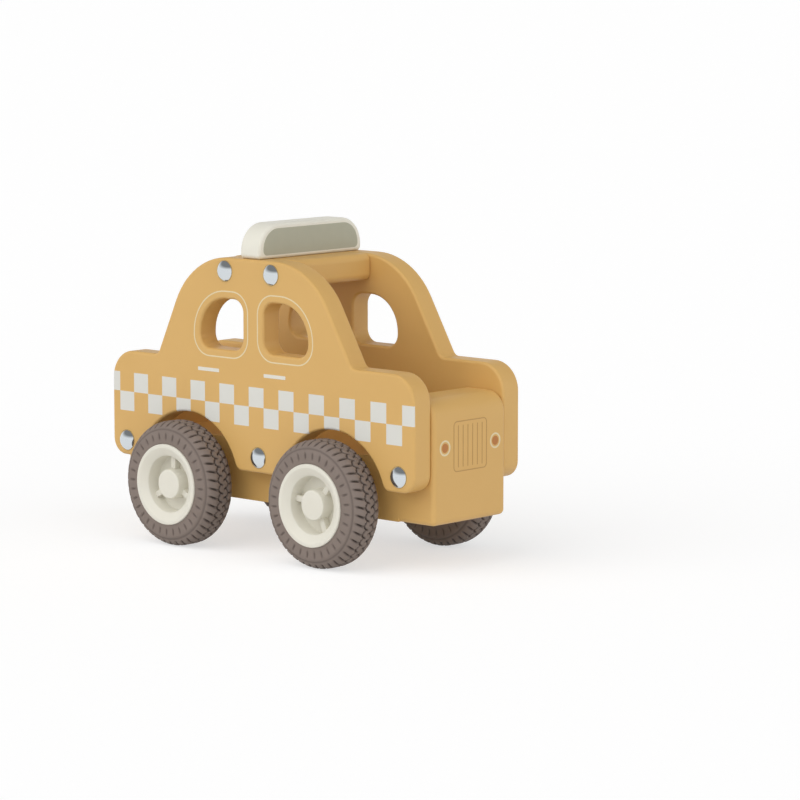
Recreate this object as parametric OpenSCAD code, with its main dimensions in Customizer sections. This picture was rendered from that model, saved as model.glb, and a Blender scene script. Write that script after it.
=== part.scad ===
// Toy taxi: two thick wooden side panels nailed to blocks, on four rubber-tyred wheels.
// +X is the front, +Y the left side, +Z up; the origin is on the ground under the middle.

/* [Side panels] */
// Length of a side panel
panel_length = 174; // [166:1:186]
// Thickness of a side panel
panel_thickness = 10.2; // [8:0.2:13]
// Height of a panel's hood edge above its lower edge
hood_height = 47.8; // [44:0.2:54]
// Height of a panel's trunk edge above its lower edge
trunk_height = 45; // [42:0.5:52]
// Height of a panel's roof edge above its lower edge
roof_height = 88.5; // [84:0.5:96]
// Place of the foot of the windscreen slope, forward of the middle
windscreen_foot = 52.8; // [48:0.2:56]
// How far the windscreen slope leans back over its height
windscreen_lean = 23.4; // [18:0.2:26]
// Place of the foot of the rear slope, behind the middle
rear_slope_foot = 59.5; // [56:0.5:63]
// How far the rear slope leans forward over its height
rear_slope_lean = 20.2; // [16:0.2:24]
// Radius of the two roof corners
roof_corner = 34; // [24:0.5:36]
// Radius of the hood and trunk corners
end_corner = 12; // [8:0.5:14]
// Radius of the lower end corners
lower_corner = 7; // [4:0.5:8]
// Radius where a slope meets the hood or trunk
slope_fillet = 3.5; // [2:0.5:5]
// Radius where a wheel arch meets the lower edge
arch_lip = 4; // [2:0.5:5]

/* [Windows] */
// Place of the pillar between the windows, along the length
pillar_place = -2.8; // [-5:0.2:0]
// Width of the pillar between the windows
pillar_width = 12; // [9:0.5:15]
// Width of a window
window_width = 25; // [22:0.5:26]
// Height of a window
window_height = 21.3; // [20:0.1:24]
// Height of the window sill above the panel's lower edge
sill_height = 50; // [47:0.5:52]
// Radius of a window's upper outer corner
window_sweep = 15; // [10:0.5:15]
// Radius of a window's other corners
window_corner = 5.5; // [3:0.5:6]

/* [Blocks and boards] */
// Clear width between the side panels
inner_width = 44; // [40:1:52]
// Length of the front and rear blocks
block_length = 21; // [19:0.5:24]
// How far the blocks stand proud of the panel ends
block_proud = 1.5; // [0.5:0.5:3]
// Height of the front and rear blocks
block_height = 51; // [48:0.5:55]
// Radius along a block's upper outer edge
block_nose = 8; // [4:0.5:12]
// Radius along the other edges of the blocks and boards
board_edge = 2; // [1:0.5:3]
// Height of the chassis block
chassis_height = 25.7; // [24:0.1:30]
// Height of the panels' lower edge above the chassis underside
panel_lift = 14; // [12:0.5:16]
// Length of the roof board
roof_board_length = 38; // [36:1:44]
// Thickness of the roof board
roof_board_thickness = 11.3; // [10:0.1:14]
// Place of the roof board's middle, along the length
roof_board_place = -5.6; // [-8:0.2:-3]

/* [Roof sign] */
// Width of the roof sign
sign_width = 62; // [54:1:64]
// Depth of the roof sign
sign_depth = 11.2; // [10:0.2:14]
// Height of the roof sign
sign_height = 14.5; // [14:0.5:18]
// Radius of the roof sign's upper corners
sign_corner = 11.5; // [5:0.5:12]
// Radius of the dowels that hold the roof sign
dowel_radius = 3; // [2:0.5:4]
// Depth of a dowel in each of the two pieces that it joins
dowel_depth = 6; // [4:0.5:8]
// Distance between the two dowels
dowel_spacing = 32; // [24:1:36]

/* [Dome nails] */
// Radius of a dome head
dome_radius = 4.5; // [3.5:0.1:5]
// Height of a dome head
dome_height = 2.4; // [1.6:0.1:3]
// Radius of a nail's shank
shank_radius = 1.6; // [1.2:0.1:2]
// Depth of a shank in the wood behind the panel
shank_depth = 16; // [12:0.5:18]
// Distance between the two roof nails
roof_nail_spacing = 26.6; // [24:0.2:30]
// Distance of the end nails from the panel's end
end_nail_inset = 8.6; // [7:0.2:11]
// Height of the lower nails above the panel's lower edge
lower_nail_height = 6.4; // [5.5:0.1:8]

/* [Wheels] */
// Distance between the two axles
wheelbase = 83.2; // [80:0.2:86]
// Diameter of a tyre
tyre_diameter = 52.8; // [50:0.2:56]
// Width of a tyre
tyre_width = 15.8; // [14:0.2:18]
// Radius of a tyre's shoulders
tyre_shoulder = 4.5; // [2:0.5:5]
// Diameter of a rim
rim_diameter = 34.2; // [32:0.2:37]
// How far a rim's face stands outside the panel
rim_overhang = 13.5; // [12:0.5:17]
// How far a rim's face stands proud of its tyre
rim_proud = 0.7; // [0:0.1:1.5]
// Radius of a rim's recess
recess_radius = 12; // [10:0.2:13]
// Depth of a rim's sloping lip
lip_depth = 2; // [1:0.2:3]
// Depth of a rim's recess
recess_depth = 8; // [6:0.5:9]
// Thickness of a rim's web
web_thickness = 3; // [2:0.5:4]
// Radius of a rim's hub
hub_radius = 6.2; // [5:0.1:7]
// How far the hub's face lies inside the rim's face
hub_inset = 2; // [1:0.2:3]
// Thickness of the hub's closed end
hub_cap = 3; // [2:0.5:5]
// Number of ribs in a rim's recess
rib_count = 3; // [3:1:6]
// Width of a rib
rib_width = 2.2; // [1.5:0.1:3]
// Height of the bead that keeps a tyre on its rim
bead_height = 1.2; // [0.6:0.1:2]
// Width of the bead
bead_width = 6; // [4:0.5:8]

/* [Axles] */
// Radius of an axle
axle_radius = 2.5; // [2:0.1:3]
// Height of an axle above the chassis underside
axle_height = 6.4; // [6.4:0.1:8]
// Wall of an axle bush
bush_wall = 1.6; // [1.2:0.1:2]
// Length of a bush in the chassis
bush_length = 12; // [8:0.5:16]
// Thickness of a bush's flange
flange_thickness = 1; // [0.8:0.1:1.5]
// Width of a bush's flange
flange_width = 1.5; // [1:0.1:2]

/* [Fits] */
// Gap between a tyre and its wheel arch
arch_gap = 3.2; // [2.5:0.1:4]
// Clearance round a turning axle
running_clearance = 0.05; // [0.02:0.01:0.1]
// Clearance round a fixed round piece
seat_clearance = 0.03; // [0.01:0.01:0.05]
// Play of a wheel along its axle
end_play = 0.4; // [0.3:0.1:1]

/* [Hidden] */
$fn = 96;

// Colours as the photograph shows them
paint_yellow = "#D6AC68";
cream_paint = "#E4E2D5";
bare_wood = "#D9B98A";
chrome = "#C9CDD2";
steel = "#A9ACB0";
cream_plastic = "#DEDACD";
brown_rubber = "#80736B";
white_nylon = "#ECEAE2";

// Which side or end a piece is on
right = -1;
left = 1;
front = 1;
rear = -1;

// Heights above the ground
axle_z = tyre_diameter / 2;
chassis_z = axle_z - axle_height;
panel_z = chassis_z + panel_lift;
hood_z = panel_z + hood_height;
trunk_z = panel_z + trunk_height;
roof_z = panel_z + roof_height;
block_z = chassis_z + block_height;
sill_z = panel_z + sill_height;
roof_board_z = roof_z - roof_board_thickness;
roof_nail_z = roof_z - roof_board_thickness / 2;
lower_nail_z = panel_z + lower_nail_height;

// Places along the length
panel_end = panel_length / 2;
block_end = panel_end + block_proud;
chassis_end = block_end - block_length;
axle_x = wheelbase / 2;
end_nail_x = panel_end - end_nail_inset;

// Places across the width
inner_y = inner_width / 2;
outer_y = inner_y + panel_thickness;
rim_y = outer_y + rim_overhang;
tyre_y = rim_y - rim_proud;
tyre_inner_y = tyre_y - tyre_width;
hub_y = rim_y - hub_inset;
web_y = rim_y - recess_depth;
hub_inner_y = inner_y + flange_thickness + end_play;
axle_end_y = hub_y - hub_cap;

// Radii
rim_radius = rim_diameter / 2;
tyre_radius = tyre_diameter / 2;
arch_radius = tyre_radius + arch_gap;
bush_bore = axle_radius + running_clearance;
bush_radius = bush_bore + bush_wall;
bush_seat = bush_radius + seat_clearance;
dome_sphere = (dome_radius * dome_radius + dome_height * dome_height) / (2 * dome_height);

// Steps in a rounded corner of an outline, and in a wheel arch
corner_steps = 14;
arch_steps = 36;
// Length by which a cut passes the face that it opens
pass = 1;

function unit(v) = v / norm(v);
function direction(v) = atan2(v[1], v[0]);

// Points of an arc about a centre, from one angle to another
function arc(centre, radius, from, to, steps) =
    [for (i = [0 : steps]) let (a = from + (to - from) * i / steps)
        centre + radius * [cos(a), sin(a)]];

// Points of the rounded corner at b, on the way from a to c
function corner(a, b, c, radius) =
    let (u = unit(a - b), v = unit(c - b))
    let (half = acos(u * v) / 2)
    let (centre = b + unit(u + v) * radius / sin(half))
    let (from = direction(b + u * radius / tan(half) - centre))
    let (to = direction(b + v * radius / tan(half) - centre))
    let (sweep = (to - from + 540) % 360 - 180)
    arc(centre, radius, from, from + sweep, corner_steps);

// Points of a closed outline whose corners have their own radii
function rounded(points, radii) =
    let (n = len(points))
    [for (i = [0 : n - 1])
        each corner(points[(i + n - 1) % n], points[i], points[(i + 1) % n], radii[i])];

// Points of a wheel arch in the panel's lower edge, from its front lip to its rear lip
function arch(centre_x) =
    let (rise = panel_z + arch_lip - axle_z)
    let (reach = sqrt(pow(arch_radius + arch_lip, 2) - rise * rise))
    let (a = direction([reach, rise]))
    let (middle = [centre_x, axle_z])
    concat(
        arc(middle + [reach, rise], arch_lip, 270, 180 + a, corner_steps),
        arc(middle, arch_radius, a, 180 - a, arch_steps),
        arc(middle + [-reach, rise], arch_lip, -a, -90, corner_steps)
    );

// Points of a side panel's outline, from its rear lower corner round over the roof
function panel_points() =
    let (rear_low = [-panel_end, panel_z], front_low = [panel_end, panel_z])
    let (rear_top = [-panel_end, trunk_z], front_top = [panel_end, hood_z])
    let (rear_foot = [-rear_slope_foot, trunk_z], front_foot = [windscreen_foot, hood_z])
    let (rear_roof = [rear_slope_lean - rear_slope_foot, roof_z])
    let (front_roof = [windscreen_foot - windscreen_lean, roof_z])
    concat(
        corner(front_low, rear_low, rear_top, lower_corner),
        corner(rear_low, rear_top, rear_foot, end_corner),
        corner(rear_top, rear_foot, rear_roof, slope_fillet),
        corner(rear_foot, rear_roof, front_roof, roof_corner),
        corner(rear_roof, front_roof, front_foot, roof_corner),
        corner(front_roof, front_foot, front_top, slope_fillet),
        corner(front_foot, front_top, front_low, end_corner),
        corner(front_top, front_low, rear_low, lower_corner),
        arch(axle_x),
        arch(-axle_x)
    );

// Points of a window, whose swept corner is at the end that it faces
function window_points(end) =
    let (near = pillar_place + end * pillar_width / 2)
    let (far = near + end * window_width)
    let (top_z = sill_z + window_height)
    rounded(
        [[near, sill_z], [near, top_z], [far, top_z], [far, sill_z]],
        [window_corner, window_corner, window_sweep, window_corner]
    );

// Shapes that repeat

// A flat outline in X and Z, made into a board between two places across the width
module board(y_low, y_high) {
    translate([0, y_high, 0])
        rotate([90, 0, 0])
            linear_extrude(y_high - y_low)
                children();
}

// A round bar or bore along the width, between two places
module cross_bar(x, z, radius, y_low, y_high) {
    translate([x, y_low, z])
        rotate([-90, 0, 0])
            cylinder(r = radius, h = y_high - y_low);
}

// A piece made on the right side, kept there or mirrored to the left
module on_side(side) {
    if (side == right) children();
    else mirror([0, 1, 0]) children();
}

// The places of a side's roof nails and of its lower nails, in X and Z
function roof_nail_places() =
    [for (end = [rear, front]) [roof_board_place + end * roof_nail_spacing / 2, roof_nail_z]];
function lower_nail_places() = [for (end = [rear, 0, front]) [end * end_nail_x, lower_nail_z]];

// The holes that both sides' nails pass through
module nail_holes(places) {
    reach = inner_y - shank_depth;
    for (p = places) {
        cross_bar(p[0], p[1], shank_radius + seat_clearance, -outer_y - pass, -reach);
        cross_bar(p[0], p[1], shank_radius + seat_clearance, reach, outer_y + pass);
    }
}

// Dome-headed nails in the right panel
module nails(places) {
    for (p = places) {
        cross_bar(p[0], p[1], shank_radius, -outer_y, shank_depth - inner_y);
        intersection() {
            translate([p[0], dome_sphere - dome_height - outer_y, p[1]])
                sphere(r = dome_sphere);
            cross_bar(p[0], p[1], dome_radius + pass, -outer_y - dome_height - pass, -outer_y);
        }
    }
}

module side_panel(side) {
    color(paint_yellow)
        on_side(side)
            difference() {
                board(-outer_y, -inner_y)
                    difference() {
                        polygon(panel_points());
                        polygon(window_points(rear));
                        polygon(window_points(front));
                    }
                nail_holes(concat(roof_nail_places(), lower_nail_places()));
            }
}

module end_block(end) {
    outline = [
        [end * chassis_end, chassis_z], [end * chassis_end, block_z],
        [end * block_end, block_z], [end * block_end, chassis_z]
    ];
    color(paint_yellow)
        difference() {
            board(-inner_y, inner_y)
                polygon(rounded(outline, [board_edge, board_edge, block_nose, board_edge]));
            nail_holes([[end * end_nail_x, lower_nail_z]]);
        }
}

module chassis_block() {
    color(paint_yellow)
        difference() {
            translate([-chassis_end, -inner_y, chassis_z])
                cube([2 * chassis_end, inner_width, chassis_height]);
            for (end = [rear, front])
                cross_bar(end * axle_x, axle_z, bush_seat, -inner_y - pass, inner_y + pass);
            nail_holes([[0, lower_nail_z]]);
        }
}

// The holes for the roof sign's two dowels
module dowel_bars(radius, z_low, z_high) {
    for (side = [right, left])
        translate([roof_board_place, side * dowel_spacing / 2, z_low])
            cylinder(r = radius, h = z_high - z_low);
}

module roof_board() {
    half = roof_board_length / 2;
    outline = [
        [roof_board_place - half, roof_board_z], [roof_board_place - half, roof_z],
        [roof_board_place + half, roof_z], [roof_board_place + half, roof_board_z]
    ];
    edges = [for (i = [1 : 4]) board_edge];
    color(paint_yellow)
        difference() {
            board(-inner_y, inner_y)
                polygon(rounded(outline, edges));
            nail_holes(roof_nail_places());
            dowel_bars(dowel_radius + seat_clearance, roof_z - dowel_depth, roof_z + pass);
        }
}

module roof_sign() {
    half = sign_width / 2;
    outline = [[-half, 0], [-half, sign_height], [half, sign_height], [half, 0]];
    edges = [board_edge, sign_corner, sign_corner, board_edge];
    color(cream_paint)
        difference() {
            translate([roof_board_place - sign_depth / 2, 0, roof_z])
                rotate([90, 0, 90])
                    linear_extrude(sign_depth)
                        polygon(rounded(outline, edges));
            dowel_bars(dowel_radius + seat_clearance, roof_z - pass, roof_z + dowel_depth);
        }
}

module sign_dowels() {
    color(bare_wood)
        dowel_bars(dowel_radius, roof_z - dowel_depth, roof_z + dowel_depth);
}

module roof_nails(side) {
    color(chrome) on_side(side) nails(roof_nail_places());
}

module lower_nails(side) {
    color(chrome) on_side(side) nails(lower_nail_places());
}

module axle(end) {
    color(steel)
        cross_bar(end * axle_x, axle_z, axle_radius, -axle_end_y, axle_end_y);
}

// A ring about the right end of an axle, from its outline of radius against distance outwards
module wheel_ring(end, outline) {
    translate([end * axle_x, 0, axle_z])
        rotate([90, 0, 0])
            rotate_extrude()
                polygon(outline);
}

module rim(end, side) {
    bore = axle_radius + seat_clearance;
    bead_y = (tyre_y + tyre_inner_y) / 2;
    outline = [
        [0, axle_end_y], [bore, axle_end_y], [bore, hub_inner_y], [hub_radius, hub_inner_y],
        [hub_radius, web_y - web_thickness], [recess_radius, web_y - web_thickness],
        [recess_radius, tyre_inner_y], [rim_radius, tyre_inner_y],
        [rim_radius, bead_y - bead_width / 2], [rim_radius + bead_height, bead_y - bead_width / 2],
        [rim_radius + bead_height, bead_y + bead_width / 2], [rim_radius, bead_y + bead_width / 2],
        [rim_radius, rim_y], [recess_radius, rim_y - lip_depth], [recess_radius, web_y],
        [hub_radius, web_y], [hub_radius, hub_y], [0, hub_y]
    ];
    rib_top = hub_y - lip_depth;
    rib_middle = (hub_radius + recess_radius) / 2;
    rib_length = recess_radius - hub_radius + pass;
    color(cream_plastic)
        on_side(side) {
            wheel_ring(end, outline);
            translate([end * axle_x, 0, axle_z])
                for (i = [0 : rib_count - 1])
                    rotate([0, i * 360 / rib_count, 0])
                        translate([-rib_width / 2, -rib_top, rib_middle - rib_length / 2])
                            cube([rib_width, rib_top - web_y + pass, rib_length]);
        }
}

module tyre(end, side) {
    bore = rim_radius + seat_clearance;
    bead_y = (tyre_y + tyre_inner_y) / 2;
    groove = bead_width / 2 + seat_clearance;
    groove_radius = bore + bead_height;
    outer = tyre_y - tyre_shoulder;
    inner = tyre_inner_y + tyre_shoulder;
    crown = tyre_radius - tyre_shoulder;
    color(brown_rubber)
        on_side(side)
            wheel_ring(end, concat(
                [[bore, tyre_inner_y]],
                arc([crown, inner], tyre_shoulder, -90, 0, corner_steps),
                arc([crown, outer], tyre_shoulder, 0, 90, corner_steps),
                [[bore, tyre_y], [bore, bead_y + groove], [groove_radius, bead_y + groove]],
                [[groove_radius, bead_y - groove], [bore, bead_y - groove]]
            ));
}

module bush(end, side) {
    color(white_nylon)
        on_side(side)
            wheel_ring(end, [
                [bush_bore, inner_y - bush_length], [bush_radius, inner_y - bush_length],
                [bush_radius, inner_y], [bush_radius + flange_width, inner_y],
                [bush_radius + flange_width, inner_y + flange_thickness],
                [bush_bore, inner_y + flange_thickness]
            ]);
}

side_panel(right);  // right_side_panel
side_panel(left);  // left_side_panel
end_block(front);  // front_block
end_block(rear);  // rear_block
chassis_block();
roof_board();
roof_sign();
sign_dowels();
roof_nails(right);  // right_roof_nails
roof_nails(left);  // left_roof_nails
lower_nails(right);  // right_lower_nails
lower_nails(left);  // left_lower_nails
axle(front);  // front_axle
axle(rear);  // rear_axle
rim(front, right);  // front_right_rim
rim(front, left);  // front_left_rim
rim(rear, right);  // rear_right_rim
rim(rear, left);  // rear_left_rim
tyre(front, right);  // front_right_tyre
tyre(front, left);  // front_left_tyre
tyre(rear, right);  // rear_right_tyre
tyre(rear, left);  // rear_left_tyre
bush(front, right);  // front_right_bush
bush(front, left);  // front_left_bush
bush(rear, right);  // rear_right_bush
bush(rear, left);  // rear_left_bush
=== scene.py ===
import bmesh
import bpy
import math
from mathutils import Matrix, Vector


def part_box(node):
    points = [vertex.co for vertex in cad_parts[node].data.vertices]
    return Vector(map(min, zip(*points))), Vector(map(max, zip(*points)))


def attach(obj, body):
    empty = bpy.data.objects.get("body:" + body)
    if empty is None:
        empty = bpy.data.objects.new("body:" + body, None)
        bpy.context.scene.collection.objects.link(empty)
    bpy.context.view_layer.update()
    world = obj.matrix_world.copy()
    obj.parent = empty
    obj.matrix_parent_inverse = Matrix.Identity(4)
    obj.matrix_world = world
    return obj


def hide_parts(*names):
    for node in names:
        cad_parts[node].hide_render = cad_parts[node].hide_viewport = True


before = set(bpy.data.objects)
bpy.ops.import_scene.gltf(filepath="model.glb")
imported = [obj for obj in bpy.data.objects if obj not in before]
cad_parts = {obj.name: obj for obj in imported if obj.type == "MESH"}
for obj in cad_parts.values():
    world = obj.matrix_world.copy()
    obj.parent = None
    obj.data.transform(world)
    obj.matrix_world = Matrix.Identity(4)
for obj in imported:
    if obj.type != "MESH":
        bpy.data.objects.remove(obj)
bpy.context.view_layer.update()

MM = 0.001
SIDES = {"right": -1, "left": 1}
ENDS = {"rear": -1, "front": 1}


def node_box(name):
    low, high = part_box(name)
    return [v / MM for v in low], [v / MM for v in high]


# Sizes in millimetres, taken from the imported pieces
panel_low, panel_high = node_box("left_side_panel")
block_low, block_high = node_box("front_block")
chassis_low, chassis_high = node_box("chassis_block")
roof_low, roof_high = node_box("roof_board")
sign_low, sign_high = node_box("roof_sign")
rim_low, rim_high = node_box("front_left_rim")
tyre_low, tyre_high = node_box("front_left_tyre")
nail_low, nail_high = node_box("left_roof_nails")
lower_nail_low, lower_nail_high = node_box("left_lower_nails")

PANEL_END = panel_high[0]
PANEL_Z = panel_low[2]
ROOF_Z = panel_high[2]
INNER_Y = panel_low[1]
OUTER_Y = panel_high[1]
AXLE_X = (tyre_low[0] + tyre_high[0]) / 2
AXLE_Z = (tyre_low[2] + tyre_high[2]) / 2
TYRE_R = (tyre_high[2] - tyre_low[2]) / 2

# Sizes in millimetres of the side panel's outline, as in its solid
HOOD_Z = PANEL_Z + 47.8
TRUNK_Z = PANEL_Z + 45
WINDSCREEN_FOOT = 52.8
WINDSCREEN_LEAN = 23.4
REAR_FOOT = 59.5
REAR_LEAN = 20.2
ROOF_CORNER = 34
END_CORNER = 12
LOWER_CORNER = 7
SLOPE_FILLET = 3.5
ARCH_LIP = 4
ARCH_R = TYRE_R + 3.2
PILLAR_X = -2.8
PILLAR_W = 12
WINDOW_W = 25
WINDOW_H = 21.3
SILL_Z = PANEL_Z + 50
WINDOW_SWEEP = 15
WINDOW_CORNER = 5.5
# Softening of the sanded edges
PANEL_EDGE = 1.2
BLOCK_EDGE = 2.0
SIGN_EDGE = 1.4
# Height of a layer of print above the paint, and how far it is sunk
PRINT = 0.06
SUNK = 0.05
# The visible end blocks stop short by the print's height, so that print stays inside the solids' reach
BLOCK_END = block_high[0] - PRINT
CORNER_STEPS = 14
EDGE_STEPS = 5


# Outlines: each arc keeps its centre, so a smaller or larger outline is a parallel curve
def arc(centre, radius, start, end, bulge, steps=CORNER_STEPS):
    return centre, radius, start, end, bulge, steps


def corner(a, b, c, radius):
    a, b, c = Vector(a), Vector(b), Vector(c)
    u, v = (a - b).normalized(), (c - b).normalized()
    half = u.angle(v) / 2
    centre = b + (u + v).normalized() * radius / math.sin(half)
    first = b + u * radius / math.tan(half) - centre
    last = b + v * radius / math.tan(half) - centre
    start = math.atan2(first.y, first.x)
    sweep = math.atan2(first.x * last.y - first.y * last.x, first.dot(last))
    return arc(centre, radius, start, start + sweep, -1 if sweep < 0 else 1)


def closed(points, radii):
    n = len(points)
    return [corner(points[i - 1], points[i], points[(i + 1) % n], radii[i]) for i in range(n)]


def outline_points(arcs, inset):
    """Points of an outline moved inwards; its clockwise arcs bulge outwards."""
    points = []
    for centre, radius, start, end, bulge, steps in arcs:
        r = radius + bulge * inset
        for i in range(steps + 1):
            t = start + (end - start) * i / steps
            points.append((centre.x + r * math.cos(t), centre.y + r * math.sin(t)))
    return points


def wheel_arch(x):
    rise = PANEL_Z + ARCH_LIP - AXLE_Z
    reach = math.sqrt((ARCH_R + ARCH_LIP) ** 2 - rise ** 2)
    a = math.atan2(rise, reach)
    middle = Vector((x, AXLE_Z))
    quarter = math.pi / 2
    return [
        arc(middle + Vector((reach, rise)), ARCH_LIP, -quarter, a - math.pi, -1),
        arc(middle, ARCH_R, a, math.pi - a, 1, 48),
        arc(middle + Vector((-reach, rise)), ARCH_LIP, -a, -quarter, -1),
    ]


def panel_outline():
    rear_low, front_low = (-PANEL_END, PANEL_Z), (PANEL_END, PANEL_Z)
    rear_top, front_top = (-PANEL_END, TRUNK_Z), (PANEL_END, HOOD_Z)
    rear_foot, front_foot = (-REAR_FOOT, TRUNK_Z), (WINDSCREEN_FOOT, HOOD_Z)
    rear_roof = (REAR_LEAN - REAR_FOOT, ROOF_Z)
    front_roof = (WINDSCREEN_FOOT - WINDSCREEN_LEAN, ROOF_Z)
    return [
        corner(front_low, rear_low, rear_top, LOWER_CORNER),
        corner(rear_low, rear_top, rear_foot, END_CORNER),
        corner(rear_top, rear_foot, rear_roof, SLOPE_FILLET),
        corner(rear_foot, rear_roof, front_roof, ROOF_CORNER),
        corner(rear_roof, front_roof, front_foot, ROOF_CORNER),
        corner(front_roof, front_foot, front_top, SLOPE_FILLET),
        corner(front_foot, front_top, front_low, END_CORNER),
        corner(front_top, front_low, rear_low, LOWER_CORNER),
    ] + wheel_arch(AXLE_X) + wheel_arch(-AXLE_X)


def rectangle(low, high, radii):
    """A rounded rectangle; radii from the lower left corner, clockwise."""
    points = [low, (low[0], high[1]), high, (high[0], low[1])]
    return closed(points, radii)


def window_outline(end):
    near = PILLAR_X + end * PILLAR_W / 2
    far = near + end * WINDOW_W
    small = WINDOW_CORNER
    low, high = (min(near, far), SILL_Z), (max(near, far), SILL_Z + WINDOW_H)
    radii = [small, small, WINDOW_SWEEP, small] if end > 0 else [small, WINDOW_SWEEP, small, small]
    return rectangle(low, high, radii)


# Ways to turn an outline and a depth into a place
def along_y(u, v, depth):
    return u, depth, v


def along_x(u, v, depth):
    return depth, u, v


# Modelling, in millimetres until a piece is finished

MERGE = 0.0005


def ring(bm, points, depth, way):
    verts = [bm.verts.new(way(u, v, depth)) for u, v in points]
    return [bm.edges.new((verts[i - 1], verts[i])) for i in range(len(verts))]


def finish_mesh(bm, name, material, body="body", smooth=True):
    bmesh.ops.remove_doubles(bm, verts=bm.verts, dist=MERGE)
    bmesh.ops.recalc_face_normals(bm, faces=bm.faces)
    bmesh.ops.scale(bm, vec=(MM, MM, MM), verts=bm.verts)
    for face in bm.faces:
        face.smooth = smooth
    mesh = bpy.data.meshes.new(name)
    bm.to_mesh(mesh)
    bm.free()
    mesh.materials.append(material)
    piece = bpy.data.objects.new(name, mesh)
    bpy.context.scene.collection.objects.link(piece)
    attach(piece, body)
    return piece


def keep_flats(piece):
    weighted = piece.modifiers.new("flat_faces", "WEIGHTED_NORMAL")
    weighted.weight = 90
    weighted.keep_sharp = True


def softened(low, high, edge):
    """Inset and depth of each ring of a board, from one face to the other."""
    quarter = [i * math.pi / 2 / EDGE_STEPS for i in range(EDGE_STEPS + 1)]
    first = [(edge * (1 - math.sin(t)), low + edge * (1 - math.cos(t))) for t in quarter]
    last = [(inset, low + high - depth) for inset, depth in reversed(first)]
    return first + last


def board(bm, outline, holes, low, high, edge, way):
    """A board with sanded edges: rings bridged round its outline and its holes, and filled faces."""
    faces = {0: [], -1: []}
    for arcs, sign in [(outline, 1)] + [(hole, -1) for hole in holes]:
        rings = [ring(bm, outline_points(arcs, sign * inset), depth, way)
                 for inset, depth in softened(low, high, edge)]
        for a, b in zip(rings, rings[1:]):
            bmesh.ops.bridge_loops(bm, edges=a + b)
        for end in faces:
            faces[end] += rings[end]
    for edges in faces.values():
        bmesh.ops.triangle_fill(bm, use_beauty=True, use_dissolve=False, edges=edges)


def board_piece(name, outline, holes, low, high, edge, way, material, node):
    bm = bmesh.new()
    board(bm, outline, holes, low, high, edge, way)
    piece = finish_mesh(bm, name, material)
    keep_flats(piece)
    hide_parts(node)
    return piece


def printed_line(bm, arcs, inner, outer, face, outwards, way):
    """A thin printed line that runs round an outline, between two distances from it."""
    sunk, top = face - outwards * SUNK, face + outwards * PRINT
    rings = [ring(bm, outline_points(arcs, -grow), depth, way)
             for grow, depth in ((inner, sunk), (inner, top), (outer, top), (outer, sunk))]
    for a, b in zip(rings, rings[1:] + rings[:1]):
        bmesh.ops.bridge_loops(bm, edges=a + b)


def printed_patch(bm, arcs, face, outwards, way):
    sunk, top = face - outwards * SUNK, face + outwards * PRINT
    rings = [ring(bm, outline_points(arcs, 0), depth, way) for depth in (sunk, top)]
    bmesh.ops.bridge_loops(bm, edges=rings[0] + rings[1])
    for edges in rings:
        bmesh.ops.triangle_fill(bm, use_beauty=True, use_dissolve=False, edges=edges)


def lathe(bm, profile, steps):
    """Spins a chain of radius and place about the Y axis."""
    verts = [bm.verts.new((r, y, 0)) for r, y in profile]
    edges = [bm.edges.new(pair) for pair in zip(verts, verts[1:])]
    bmesh.ops.spin(bm, geom=verts + edges, cent=(0, 0, 0), axis=(0, 1, 0), dvec=(0, 0, 0),
                   angle=2 * math.pi, steps=steps, use_merge=True, use_duplicate=False)
    bmesh.ops.remove_doubles(bm, verts=bm.verts, dist=MERGE)


def softened_chain(points, radii):
    """A chain of points whose inner corners are rounded."""
    chain = [points[0]]
    for i in range(1, len(points) - 1):
        if radii[i]:
            bend = [corner(points[i - 1], points[i], points[i + 1], radii[i])]
            chain += outline_points(bend, 0)[::3]
        else:
            chain.append(points[i])
    return chain + [points[-1]]


# Materials
def linear(hex_colour):
    """An sRGB hex colour as linear values."""
    parts = [int(hex_colour[i:i + 2], 16) / 255 for i in (1, 3, 5)]
    return [p / 12.92 if p <= 0.04045 else ((p + 0.055) / 1.055) ** 2.4 for p in parts] + [1.0]


def add(tree, kind, values=None, **settings):
    """Adds a node with its settings; a value that is a socket is linked."""
    made = tree.nodes.new(kind)
    for key, setting in settings.items():
        setattr(made, key, setting)
    for key, value in (values or {}).items():
        if isinstance(value, bpy.types.NodeSocket):
            tree.links.new(value, made.inputs[key])
        else:
            made.inputs[key].default_value = value
    return made


def new_material(name):
    material = bpy.data.materials.new(name)
    material.use_nodes = True
    tree = material.node_tree
    tree.nodes.clear()
    place = add(tree, "ShaderNodeTexCoord").outputs["Object"]
    return material, tree, place


def per_mm(size):
    """Scale of a noise whose lumps are about this many millimetres."""
    return 1 / (size * MM)


def surface(tree, values, height=None, depth_mm=0.05, strength=0.4):
    if height is not None:
        relief = {"Height": height, "Strength": strength, "Distance": depth_mm * MM}
        values["Normal"] = add(tree, "ShaderNodeBump", relief).outputs["Normal"]
    shader = add(tree, "ShaderNodeBsdfPrincipled", values)
    add(tree, "ShaderNodeOutputMaterial", {"Surface": shader.outputs["BSDF"]})


def mixed(tree, factor, a, b):
    blend = add(tree, "ShaderNodeMix", data_type="RGBA")
    for index, value in ((0, factor), (6, a), (7, b)):
        if isinstance(value, bpy.types.NodeSocket):
            tree.links.new(value, blend.inputs[index])
        else:
            blend.inputs[index].default_value = value
    return blend.outputs[2]


def maths(tree, operation, a, b=0.0):
    return add(tree, "ShaderNodeMath", {0: a, 1: b}, operation=operation).outputs[0]


def between(tree, value, low, high):
    """One where a value lies between two others, else nothing."""
    above = maths(tree, "GREATER_THAN", value, low)
    return maths(tree, "MULTIPLY", above, maths(tree, "LESS_THAN", value, high))


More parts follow.
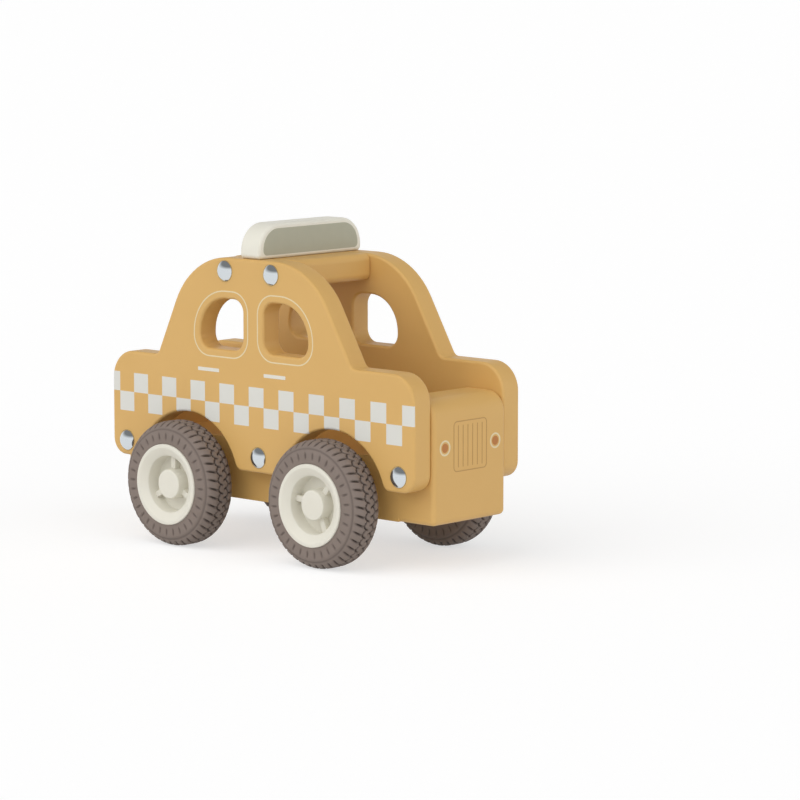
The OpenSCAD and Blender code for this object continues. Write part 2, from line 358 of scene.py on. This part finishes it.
def in_view(tree):
    """One for the camera's rays and for what metal mirrors or glass lets through, and nothing for the rest."""
    rays = add(tree, "ShaderNodeLightPath").outputs
    mirrored = maths(tree, "MAXIMUM", rays["Is Camera Ray"], rays["Is Glossy Ray"])
    return maths(tree, "MAXIMUM", mirrored, rays["Is Transmission Ray"])


PAINT_IOR = 1.48
PEEL_DEPTH = 0.03


def paint_layers(tree, place, dark, pale):
    """Sprayed paint: a slow drift of colour, and the fine orange peel that breaks up its gloss."""
    drift = add(tree, "ShaderNodeTexNoise", {"Vector": place, "Scale": per_mm(30), "Detail": 3.0})
    peel = add(tree, "ShaderNodeTexNoise", {"Vector": place, "Scale": per_mm(0.9), "Detail": 2.0})
    colour = mixed(tree, drift.outputs["Fac"], linear(dark), linear(pale))
    gloss = add(tree, "ShaderNodeMapRange", {"Value": peel.outputs["Fac"], "To Min": 0.40, "To Max": 0.52})
    return colour, gloss.outputs["Result"], peel.outputs["Fac"]


# Satin paint sprayed over sanded beech: an even warm yellow with a soft broad sheen
def painted_beech(name, dark, pale):
    material, tree, place = new_material(name)
    colour, gloss, peel = paint_layers(tree, place, dark, pale)
    surface(tree, {"Base Color": colour, "Roughness": gloss, "IOR": PAINT_IOR}, peel, PEEL_DEPTH)
    return material


# Size of the checker cells, where their first column starts, and the line between their two rows
CELL_W = 8.57
CELL_H = 8.27
CHECKER_X = -90.96
CHECKER_Z = 61.43


# The same paint with a checker band screen-printed in chalky white on the outer face
def checkered_beech(name, dark, pale, ink):
    material, tree, place = new_material(name)
    colour, gloss, peel = paint_layers(tree, place, dark, pale)
    axes = add(tree, "ShaderNodeSeparateXYZ", {"Vector": place})
    x, y, z = (axes.outputs[i] for i in range(3))
    column = maths(tree, "DIVIDE", maths(tree, "SUBTRACT", x, CHECKER_X * MM), CELL_W * MM)
    odd = maths(tree, "MODULO", maths(tree, "FLOOR", column), 2.0)
    row = maths(tree, "DIVIDE", maths(tree, "SUBTRACT", z, CHECKER_Z * MM), CELL_H * MM)
    even = maths(tree, "SUBTRACT", 1.0, odd)
    upper = maths(tree, "MULTIPLY", between(tree, row, 0.0, 1.0), even)
    lower = maths(tree, "MULTIPLY", between(tree, row, -1.0, 0.0), odd)
    cells = maths(tree, "ADD", upper, lower)
    face = maths(tree, "GREATER_THAN", maths(tree, "ABSOLUTE", y), (OUTER_Y - PANEL_EDGE / 2) * MM)
    mask = maths(tree, "MULTIPLY", cells, face)
    printed = mixed(tree, mask, colour, linear(ink))
    surface(tree, {"Base Color": printed, "Roughness": gloss, "IOR": PAINT_IOR}, peel, PEEL_DEPTH)
    return material


# Screen-printing ink: a thin matt film of one colour, a little uneven in cover
def printed_ink(name, dark, pale):
    material, tree, place = new_material(name)
    cover = add(tree, "ShaderNodeTexNoise", {"Vector": place, "Scale": per_mm(4), "Detail": 4.0})
    colour = mixed(tree, cover.outputs["Fac"], linear(dark), linear(pale))
    surface(tree, {"Base Color": colour, "Roughness": 0.6}, cover.outputs["Fac"], 0.01)
    return material


# Chrome plate on a pressed steel dome: a mirror with a faint haze
def chrome_plate(name):
    material, tree, place = new_material(name)
    haze = add(tree, "ShaderNodeTexNoise", {"Vector": place, "Scale": per_mm(2), "Detail": 3.0})
    gloss = add(tree, "ShaderNodeMapRange", {"Value": haze.outputs["Fac"], "To Min": 0.05, "To Max": 0.14})
    surface(tree, {"Base Color": linear("#D3D9DD"), "Metallic": 1.0, "Roughness": gloss.outputs["Result"]})
    return material


# Drawn steel rod: dull metal with drawing lines along its length
def drawn_steel(name):
    material, tree, place = new_material(name)
    turned = add(tree, "ShaderNodeMapping", {"Vector": place, "Scale": (1.0, 0.05, 1.0)})
    lines = add(tree, "ShaderNodeTexNoise", {"Vector": turned.outputs["Vector"], "Scale": per_mm(0.5)})
    gloss = add(tree, "ShaderNodeMapRange", {"Value": lines.outputs["Fac"], "To Min": 0.28, "To Max": 0.45})
    surface(tree, {"Base Color": linear("#A9ACB0"), "Metallic": 1.0, "Roughness": gloss.outputs["Result"]},
            lines.outputs["Fac"], 0.02)
    return material


# Moulded plastic: a fine spark-eroded grain from the mould, with a soft sheen
def moulded_plastic(name, dark, pale):
    material, tree, place = new_material(name)
    grain = add(tree, "ShaderNodeTexNoise", {"Vector": place, "Scale": per_mm(0.6), "Detail": 2.0})
    drift = add(tree, "ShaderNodeTexNoise", {"Vector": place, "Scale": per_mm(14)})
    colour = mixed(tree, drift.outputs["Fac"], linear(dark), linear(pale))
    gloss = add(tree, "ShaderNodeMapRange", {"Value": grain.outputs["Fac"], "To Min": 0.36, "To Max": 0.5})
    surface(tree, {"Base Color": colour, "Roughness": gloss.outputs["Result"], "IOR": 1.5},
            grain.outputs["Fac"], 0.03)
    return material


# Moulded rubber: matt taupe with a random drift of tone, darkened with painted shade down in the tread's
# grooves
def moulded_rubber(name):
    material, tree, place = new_material(name)
    bloom = add(tree, "ShaderNodeTexNoise", {"Vector": place, "Scale": per_mm(7), "Detail": 4.0})
    grain = add(tree, "ShaderNodeTexNoise", {"Vector": place, "Scale": per_mm(0.5), "Detail": 2.0})
    groove = add(tree, "ShaderNodeAttribute", attribute_name="groove").outputs["Fac"]
    top = mixed(tree, bloom.outputs["Fac"], linear("#7B6E66"), linear("#877A72"))
    # Painted shade: the groove depth mixes in a deep brown where shade falls down in the tread's grooves
    colour = mixed(tree, groove, top, linear("#3E342E"))
    gloss = add(tree, "ShaderNodeMapRange", {"Value": bloom.outputs["Fac"], "To Min": 0.66, "To Max": 0.82})
    surface(tree, {"Base Color": colour, "Roughness": gloss.outputs["Result"]}, grain.outputs["Fac"], 0.04)
    return material


# Bare turned beech: pale wood with fine grain along the dowel
def bare_beech(name):
    material, tree, place = new_material(name)
    turned = add(tree, "ShaderNodeMapping", {"Vector": place, "Scale": (1.0, 1.0, 0.1)})
    grain = add(tree, "ShaderNodeTexNoise",
                {"Vector": turned.outputs["Vector"], "Scale": per_mm(1), "Detail": 4.0})
    colour = mixed(tree, grain.outputs["Fac"], linear("#C9A676"), linear("#E2C79C"))
    surface(tree, {"Base Color": colour, "Roughness": 0.6}, grain.outputs["Fac"], 0.05)
    return material


YELLOW_DARK, YELLOW_PALE = "#D3A862", "#D9AF6A"
yellow = painted_beech("satin_yellow_on_beech", YELLOW_DARK, YELLOW_PALE)
checkered = checkered_beech("satin_yellow_with_printed_checker", YELLOW_DARK, YELLOW_PALE, "#DAD9D2")
cream = painted_beech("satin_cream_on_beech", "#E3E0D2", "#E9E6DA")
sage_ink = printed_ink("printed_sage_ink", "#AAAA98", "#B0B09E")
cream_ink = printed_ink("printed_cream_ink", "#DECBA0", "#E6D7B2")
white_ink = printed_ink("printed_white_ink", "#DDD9CB", "#E4E1D6")
tan_ink = printed_ink("printed_tan_ink", "#B58C50", "#BD9459")
amber_ink = printed_ink("printed_amber_ink", "#B3733A", "#BC7D42")
chrome = chrome_plate("chrome_plated_steel")
steel = drawn_steel("drawn_steel_rod")
rim_plastic = moulded_plastic("moulded_cream_plastic", "#DDD9CB", "#E5E2D6")
nylon = moulded_plastic("moulded_white_nylon", "#E3E1D8", "#EEECE5")
rubber = moulded_rubber("moulded_taupe_rubber")
beech = bare_beech("bare_turned_beech")


# The wooden body: corners seen from the side, and softening of the edges across
NOSE_CORNER = 8
CORNER_SPARE = 0.3
CHASSIS_CORNER, CHASSIS_EDGE = 0.5, 0.3
ROOF_BOARD_CORNER, ROOF_BOARD_EDGE = 3, 0.6
# The chassis reaches this far under the blocks' softened edges, so that no seam shows
CHASSIS_TUCK = BLOCK_EDGE * 0.95


def side_panels():
    windows = [window_outline(end) for end in ENDS.values()]
    for side, sign in SIDES.items():
        low, high = sorted((sign * INNER_Y, sign * OUTER_Y))
        board_piece(side + "_panel_board", panel_outline(), windows, low, high, PANEL_EDGE, along_y,
                    checkered, side + "_side_panel")


def blocks():
    soft = BLOCK_EDGE + CORNER_SPARE
    nose = NOSE_CORNER + CORNER_SPARE
    for end, sign in ENDS.items():
        xs = sorted((sign * block_low[0], sign * BLOCK_END))
        radii = [soft, soft, nose, soft] if sign > 0 else [soft, nose, soft, soft]
        outline = rectangle((xs[0], block_low[2]), (xs[1], block_high[2]), radii)
        board_piece(end + "_end_block", outline, [], block_low[1], block_high[1], BLOCK_EDGE, along_y,
                    yellow, end + "_block")
    rear, front = chassis_low[0] - CHASSIS_TUCK, chassis_high[0] + CHASSIS_TUCK
    chassis = rectangle((rear, chassis_low[2]), (front, chassis_high[2]), [CHASSIS_CORNER] * 4)
    board_piece("chassis_beam", chassis, [], chassis_low[1], chassis_high[1], CHASSIS_EDGE, along_y,
                yellow, "chassis_block")
    roof = rectangle((roof_low[0], roof_low[2]), (roof_high[0], roof_high[2]), [ROOF_BOARD_CORNER] * 4)
    board_piece("roof_plank", roof, [], roof_low[1], roof_high[1], ROOF_BOARD_EDGE, along_y,
                yellow, "roof_board")


SIGN_CORNER, SIGN_FOOT_CORNER = 11.5, 2
# Borders of the sign's printed face at its sides, its top and its bottom
SIGN_SIDE, SIGN_TOP, SIGN_FOOT = 2.6, 2.0, 1.6
SIGN_FACE_CORNER = SIGN_CORNER - 2.8


def roof_sign():
    low, high = (sign_low[1], sign_low[2]), (sign_high[1], sign_high[2])
    outline = rectangle(low, high, [SIGN_FOOT_CORNER, SIGN_CORNER, SIGN_CORNER, SIGN_FOOT_CORNER])
    board_piece("sign_bar", outline, [], sign_low[0], sign_high[0], SIGN_EDGE, along_x,
                cream, "roof_sign")
    face = rectangle((low[0] + SIGN_SIDE, low[1] + SIGN_FOOT), (high[0] - SIGN_SIDE, high[1] - SIGN_TOP),
                     [SIGN_FOOT_CORNER, SIGN_FACE_CORNER, SIGN_FACE_CORNER, SIGN_FOOT_CORNER])
    bm = bmesh.new()
    for x, outwards in ((sign_low[0], -1), (sign_high[0], 1)):
        printed_patch(bm, face, x, outwards, along_x)
    finish_mesh(bm, "sign_printed_faces", sage_ink, smooth=False)


# Printed details: lines round the windows and the door handles under them
WINDOW_LINE_GAP = 2.9
WINDOW_LINE_W = 0.55
HANDLE_W, HANDLE_H, HANDLE_CORNER = 12.4, 1.5, 0.3
HANDLE_Z = 75.0
HANDLE_X = (-28.7, 9.7)


def side_prints():
    for side, sign in SIDES.items():
        face = sign * OUTER_Y
        bm = bmesh.new()
        for end in ENDS.values():
            outer = WINDOW_LINE_GAP + WINDOW_LINE_W
            printed_line(bm, window_outline(end), WINDOW_LINE_GAP, outer, face, sign, along_y)
        finish_mesh(bm, side + "_window_lines", cream_ink, smooth=False)
        bm = bmesh.new()
        for x in HANDLE_X:
            low = (x - HANDLE_W / 2, HANDLE_Z - HANDLE_H / 2)
            high = (x + HANDLE_W / 2, HANDLE_Z + HANDLE_H / 2)
            printed_patch(bm, rectangle(low, high, [HANDLE_CORNER] * 4), face, sign, along_y)
        finish_mesh(bm, side + "_door_handles", white_ink, smooth=False)


# Printed grille and headlights on the front block
GRILLE_W, GRILLE_H, GRILLE_Z = 20.4, 20.7, 51.2
GRILLE_LINE, GRILLE_CORNER = 0.42, 2
GRILLE_BARS, BAR_END_GAP, BAR_CORNER = 6, 1.8, 0.15
LAMP_Y, LAMP_Z = 15.4, 51.3
LAMP_R, LAMP_RING, LAMP_DOT = 3.25, 0.75, 1.85
# A disc's corners stay a little under its radius, so that neighbours don't share a point
DISC_SHARE = 0.999


def disc(y, z, radius):
    low, high = (y - radius, z - radius), (y + radius, z + radius)
    return rectangle(low, high, [radius * DISC_SHARE] * 4)


def front_prints():
    face = BLOCK_END
    half_w, half_h = GRILLE_W / 2, GRILLE_H / 2
    bm = bmesh.new()
    frame_line = rectangle((-half_w, GRILLE_Z - half_h), (half_w, GRILLE_Z + half_h), [GRILLE_CORNER] * 4)
    printed_line(bm, frame_line, -GRILLE_LINE, 0, face, 1, along_x)
    pitch = GRILLE_W / (GRILLE_BARS + 1)
    reach = half_h - BAR_END_GAP
    for i in range(GRILLE_BARS):
        y = (i - (GRILLE_BARS - 1) / 2) * pitch
        low, high = (y - GRILLE_LINE / 2, GRILLE_Z - reach), (y + GRILLE_LINE / 2, GRILLE_Z + reach)
        printed_patch(bm, rectangle(low, high, [BAR_CORNER] * 4), face, 1, along_x)
    finish_mesh(bm, "grille_lines", tan_ink, smooth=False)
    rings, dots = bmesh.new(), bmesh.new()
    for sign in SIDES.values():
        printed_line(rings, disc(sign * LAMP_Y, LAMP_Z, LAMP_R), -LAMP_RING, 0, face, 1, along_x)
        printed_patch(dots, disc(sign * LAMP_Y, LAMP_Z, LAMP_DOT), face, 1, along_x)
    finish_mesh(rings, "headlight_rings", cream_ink, smooth=False)
    finish_mesh(dots, "headlight_dots", amber_ink, smooth=False)


# Dome-headed nails

DOME_R = (nail_high[2] - nail_low[2]) / 2
DOME_H = nail_high[1] - OUTER_Y
DOME_SPHERE = (DOME_R ** 2 + DOME_H ** 2) / (2 * DOME_H)
SHANK_R = 1.6
DOME_LIP = 0.25
DOME_STEPS, NAIL_STEPS = 12, 48


def nails(side, sign, group, low, high, count):
    """A row of nails between the ends of their group, with the dome's rim rolled in at the wood."""
    full = math.asin(DOME_R / DOME_SPHERE)
    z = (low[2] + high[2]) / 2
    first, last = low[0] + DOME_R, high[0] - DOME_R
    chain = [(0, low[1]), (SHANK_R, low[1]), (SHANK_R, OUTER_Y), (DOME_R - DOME_LIP, OUTER_Y)]
    for i in range(DOME_STEPS + 1):
        a = full * (1 - i / DOME_STEPS)
        chain.append((DOME_SPHERE * math.sin(a), nail_high[1] - DOME_SPHERE * (1 - math.cos(a))))
    bm = bmesh.new()
    for i in range(count):
        x = first + (last - first) * i / (count - 1)
        one = bmesh.new()
        lathe(one, chain, NAIL_STEPS)
        bmesh.ops.scale(one, vec=(1, sign, 1), verts=one.verts)
        bmesh.ops.translate(one, vec=(x, 0, z), verts=one.verts)
        part = bpy.data.meshes.new("nail")
        one.to_mesh(part)
        one.free()
        bm.from_mesh(part)
        bpy.data.meshes.remove(part)
    piece = finish_mesh(bm, side + "_" + group + "_domes", chrome)
    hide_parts(side + "_" + group + "_nails")


# Wheels, modelled about the Y axis on the left side and then put in place

RIM_R = 17.1
RIM_Y = rim_high[1]
HUB_IN_Y = rim_low[1]
HUB_R, HUB_DRAFT = 6.2, 0.25
HUB_Y = RIM_Y - 2
BORE_R, CAP_T = 2.53, 3
RECESS_R, RECESS_DRAFT = 12, 0.4
LIP_W, LIP_Y = 1.6, RIM_Y - 2
WEB_Y, WEB_T = RIM_Y - 8, 3
RIM_STEPS = 128
TYRE_OUT, TYRE_IN = tyre_high[1], tyre_low[1]
SHOULDER = 5.5
BEAD = 3
SEAT_R = RIM_R + 0.05
# Ribs round the hub, how far they run into what carries them, and their rounding
RIBS, RIB_W, RIB_H = 3, 2.6, 3.2
RIB_ROOT, RIB_SUNK, RIB_ROUND = 1.2, 1, 0.4
# How far each axle's ribs are turned from upright, in degrees, as the photograph shows them
RIB_TURN = {"rear": 0, "front": 38}


def rim_mesh():
    bm = bmesh.new()
    points = [
        (0, HUB_Y), (HUB_R, HUB_Y), (HUB_R + HUB_DRAFT, WEB_Y), (RECESS_R - RECESS_DRAFT, WEB_Y),
        (RECESS_R, LIP_Y), (RIM_R - LIP_W, RIM_Y), (RIM_R, RIM_Y), (RIM_R, TYRE_IN), (RECESS_R, TYRE_IN),
        (RECESS_R, WEB_Y - WEB_T), (HUB_R, WEB_Y - WEB_T), (HUB_R, HUB_IN_Y), (BORE_R, HUB_IN_Y),
        (BORE_R, HUB_Y - CAP_T), (0, HUB_Y - CAP_T),
    ]
    radii = [0, 0.6, 0.5, 0.5, 0.9, 0.5, 0.5, 0.4, 0.4, 0.5, 0.5, 0.4, 0.3, 0, 0]
    lathe(bm, softened_chain(points, radii), RIM_STEPS)
    reach = RECESS_R - HUB_R + RIB_ROOT
    for i in range(RIBS):
        cube = bmesh.ops.create_cube(bm, size=1)["verts"]
        bmesh.ops.scale(bm, vec=(RIB_W, RIB_H + RIB_SUNK, reach), verts=cube)
        edges = list({e for v in cube for e in v.link_edges})
        rounded = bmesh.ops.bevel(bm, geom=edges, offset=RIB_ROUND, segments=3, profile=0.5,
                                  affect="EDGES", material=-1)["verts"]
        middle = Vector((0, WEB_Y + (RIB_H - RIB_SUNK) / 2, (HUB_R + RECESS_R) / 2))
        bmesh.ops.translate(bm, vec=middle, verts=rounded)
        turn = Matrix.Rotation(i * 2 * math.pi / RIBS, 3, "Y")
        bmesh.ops.rotate(bm, cent=(0, 0, 0), matrix=turn, verts=rounded)
    return bm


# Tread: bars a turn, steps of the mesh round and across, and the depth of the main grooves
TREAD_BARS = 44
TREAD_STEPS, CROWN_STEPS, SHOULDER_STEPS, WALL_STEPS = 704, 26, 14, 12
TREAD_DEPTH = 0.95
# Grooves by their place from the tyre's side, half width, half length, and slant in bars a millimetre
LUG_AT, LUG_HALF, LUG_REACH, LUG_SLANT, LUG_PIVOT = 3.0, 0.62, 2.1, 0.10, 3.5
LINK_AT, LINK_HALF, LINK_REACH, LINK_SLANT = 7.0, 0.5, 1.0, 0.12
# The zigzag between them, and how far it swings
ZIG_AT, ZIG_HALF, ZIG_SWING = 5.7, 0.5, 0.55
# Ticks and a thin line pressed into the side wall
SIDE_TICKS, TICK_R, TICK_HALF, TICK_REACH, TICK_DEPTH = 32, 20.3, 0.6, 1.9, 0.45
WALL_LINE_R, WALL_LINE_HALF, WALL_LINE_DEPTH = 23.2, 0.5, 0.4
# The side wall's pattern ends this far past its line, and starts this far from the rim
WALL_END, WALL_START = 0.6, 0.6
# How steeply a groove's sides fall
GROOVE_STEEPNESS = 1.6


def dip(distance, half_width):
    """One in the middle of a groove, easing to nothing past its half width."""
    return max(0.0, min(1.0, GROOVE_STEEPNESS * (1 - abs(distance) / half_width)))


def saw(turns):
    """Goes from minus one to one and back as a zigzag."""
    return 4 * abs(turns - math.floor(turns + 0.5)) - 1


def groove_depth(turn, radius, y):
    """Depth of the tread in millimetres at a point of the tyre."""
    from_out = min(TYRE_OUT - y, y - TYRE_IN)
    mirror = 0.5 if TYRE_OUT - y > y - TYRE_IN else 0.0
    bar = turn * TREAD_BARS + mirror
    pitch = 2 * math.pi * TYRE_R / TREAD_BARS
    if radius < WALL_LINE_R + WALL_END and from_out < SHOULDER / 2:
        tick = turn * SIDE_TICKS
        across = (tick - round(tick)) * 2 * math.pi * radius / SIDE_TICKS
        ticks = dip(across, TICK_HALF) * dip(radius - TICK_R, TICK_REACH) * TICK_DEPTH
        return max(ticks, dip(radius - WALL_LINE_R, WALL_LINE_HALF) * WALL_LINE_DEPTH)
    slant = bar + LUG_SLANT * (from_out - LUG_PIVOT)
    lug = dip((slant - round(slant)) * pitch, LUG_HALF) * dip(from_out - LUG_AT, LUG_REACH)
    zig = dip(from_out - ZIG_AT - ZIG_SWING * saw(bar), ZIG_HALF)
    half_bar = bar + 0.5 + LINK_SLANT * (from_out - LINK_AT)
    middle = dip((half_bar - round(half_bar)) * pitch, LINK_HALF) * dip(from_out - LINK_AT, LINK_REACH)
    return TREAD_DEPTH * max(lug, zig, middle)


def tyre_mesh():
    outer, inner = TYRE_OUT - SHOULDER, TYRE_IN + SHOULDER
    crown = TYRE_R - SHOULDER
    quarter = [math.pi / 2 * i / SHOULDER_STEPS for i in range(SHOULDER_STEPS + 1)]
    sidewall = [SEAT_R + (crown - RIM_R) * i / WALL_STEPS for i in range(WALL_STEPS)]
    tread = [outer + (inner - outer) * i / CROWN_STEPS for i in range(1, CROWN_STEPS)]
    chain = [(SEAT_R, TYRE_OUT - BEAD)]
    chain += [(r, TYRE_OUT) for r in sidewall]
    chain += [(crown + SHOULDER * math.sin(t), outer + SHOULDER * math.cos(t)) for t in quarter]
    chain += [(TYRE_R, y) for y in tread]
    chain += [(crown + SHOULDER * math.cos(t), inner - SHOULDER * math.sin(t)) for t in quarter]
    chain += [(r, TYRE_IN) for r in reversed(sidewall)]
    chain += [(SEAT_R, TYRE_IN + BEAD), chain[0]]
    bm = bmesh.new()
    lathe(bm, chain, TREAD_STEPS)
    # The groove depth is kept on each point for the rubber's painted shade in the grooves
    layer = bm.verts.layers.float.new("groove")
    for vert in bm.verts:
        x, y, z = vert.co
        radius = math.hypot(x, z)
        if radius < RIM_R + WALL_START:
            continue
        turn = math.atan2(z, x) / (2 * math.pi) + 0.5
        depth = groove_depth(turn, radius, y)
        if depth <= 0:
            continue
        lean = min(1.0, max(0.0, (radius - crown) / SHOULDER))
        flat = math.sqrt(max(0.0, 1 - lean * lean)) * (1 if y > (outer + inner) / 2 else -1)
        inwards = Vector((-x / radius * lean, -flat, -z / radius * lean))
        vert.co += inwards * depth
        vert[layer] = min(1.0, depth / TREAD_DEPTH)
    return bm


def wheels():
    for kind, make, material, slot in (("rim", rim_mesh, rim_plastic, "cream_plastic"),
                                       ("tyre", tyre_mesh, rubber, "rubber")):
        bm = make()
        shape = bpy.data.meshes.new(kind)
        bm.to_mesh(shape)
        bm.free()
        for end, end_sign in ENDS.items():
            for side, side_sign in SIDES.items():
                turn = Matrix.Rotation(math.radians(RIB_TURN[end]), 3, "Y")
                one = bmesh.new()
                one.from_mesh(shape)
                bmesh.ops.rotate(one, cent=(0, 0, 0), matrix=turn, verts=one.verts)
                bmesh.ops.scale(one, vec=(1, side_sign, 1), verts=one.verts)
                middle = (end_sign * AXLE_X, 0, AXLE_Z)
                bmesh.ops.translate(one, vec=middle, verts=one.verts)
                name = "_".join((end, side, "moulded", kind))
                piece = finish_mesh(one, name, material, end + "_wheels")
                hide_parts("_".join((end, side, kind)))
        bpy.data.meshes.remove(shape)


# Hidden pieces keep their solids' shape and get a material
def dress(name, material):
    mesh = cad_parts[name].data
    mesh.materials.clear()
    mesh.materials.append(material)


def dress_cad_nodes():
    for name in ("front_axle", "rear_axle"):
        dress(name, steel)
    dress("sign_dowels", beech)
    for end in ENDS:
        for side in SIDES:
            dress(end + "_" + side + "_bush", nylon)


# Studio

FLOOR_HALF = 30.0
CAMERA_PLACE = (1.04601, -1.09863, 0.26333)
CAMERA_BACK = (0.66574, -0.73442, 0.13197)
LENS = 164.0
SENSOR = 36.0


# Light levels: the sky all round, two soft suns, and the lift that makes the floor white
SKY = 0.84
KEY_SUN, KEY_FROM, KEY_SOFT = 1.5, (-0.25, -1.0, 1.1), 70
FRONT_SUN, FRONT_FROM, FRONT_SOFT = 0.8, (1.0, -0.1, 0.6), 70
FLOOR_LIFT = 0.6
# Colours of the floor: by itself, and under the lift; and of the sky low down and overhead
PAPER, SHADED_PAPER = "#F2F2F2", "#B8B8B8"
SKY_LOW, SKY_HIGH = "#FFFFFF", "#8C8C8C"
SKY_FADE_FROM, SKY_FADE_TO = 0.25, 0.6


def camera():
    data = bpy.data.cameras.new("camera")
    data.lens = LENS
    data.sensor_width = SENSOR
    data.clip_end = 200
    made = bpy.data.objects.new("camera", data)
    made.location = CAMERA_PLACE
    made.rotation_euler = Vector(CAMERA_BACK).to_track_quat("Z", "Y").to_euler()
    bpy.context.scene.collection.objects.link(made)
    bpy.context.scene.camera = made


def floor():
    bm = bmesh.new()
    bmesh.ops.create_grid(bm, x_segments=8, y_segments=8, size=FLOOR_HALF)
    mesh = bpy.data.meshes.new("floor")
    bm.to_mesh(mesh)
    bm.free()
    made = bpy.data.objects.new("floor", mesh)
    bpy.context.scene.collection.objects.link(made)
    material, tree, _ = new_material("white_paper_sweep")
    paper = add(tree, "ShaderNodeBsdfDiffuse", {"Color": linear(PAPER)})
    shade = add(tree, "ShaderNodeBsdfDiffuse", {"Color": linear(SHADED_PAPER)})
    lift = add(tree, "ShaderNodeEmission", {"Color": linear("#FFFFFF"), "Strength": FLOOR_LIFT})
    both = add(tree, "ShaderNodeAddShader", {0: shade.outputs[0], 1: lift.outputs[0]})
    sweep = add(tree, "ShaderNodeMixShader", {0: in_view(tree), 1: paper.outputs[0], 2: both.outputs[0]})
    add(tree, "ShaderNodeOutputMaterial", {"Surface": sweep.outputs[0]})
    mesh.materials.append(material)


def lights():
    for name, strength, source, soft in (("key", KEY_SUN, KEY_FROM, KEY_SOFT),
                                         ("front", FRONT_SUN, FRONT_FROM, FRONT_SOFT)):
        data = bpy.data.lights.new(name, "SUN")
        data.energy = strength
        data.angle = math.radians(soft)
        lamp = bpy.data.objects.new(name, data)
        lamp.visible_glossy = False
        lamp.rotation_euler = Vector(source).to_track_quat("Z", "Y").to_euler()
        bpy.context.scene.collection.objects.link(lamp)
    world = bpy.data.worlds.new("studio")
    bpy.context.scene.world = world
    world.use_nodes = True
    tree = world.node_tree
    tree.nodes.clear()
    towards = add(tree, "ShaderNodeTexCoord").outputs["Generated"]
    height = add(tree, "ShaderNodeSeparateXYZ", {"Vector": towards}).outputs["Z"]
    fade = add(tree, "ShaderNodeMapRange",
               {"Value": height, "From Min": SKY_FADE_FROM, "From Max": SKY_FADE_TO})
    sky = mixed(tree, fade.outputs["Result"], linear(SKY_LOW), linear(SKY_HIGH))
    level = add(tree, "ShaderNodeMapRange", {"Value": in_view(tree), "To Min": SKY, "To Max": 1.0})
    back = add(tree, "ShaderNodeBackground", {"Color": sky, "Strength": level.outputs["Result"]})
    add(tree, "ShaderNodeOutputWorld", {"Surface": back.outputs[0]})


camera()
side_panels()
blocks()
roof_sign()
side_prints()
front_prints()
for nail_side, nail_sign in SIDES.items():
    nails(nail_side, nail_sign, "roof", nail_low, nail_high, 2)
    nails(nail_side, nail_sign, "lower", lower_nail_low, lower_nail_high, 3)
wheels()
dress_cad_nodes()
floor()
lights()
bpy.context.scene.view_settings.view_transform = "Standard"
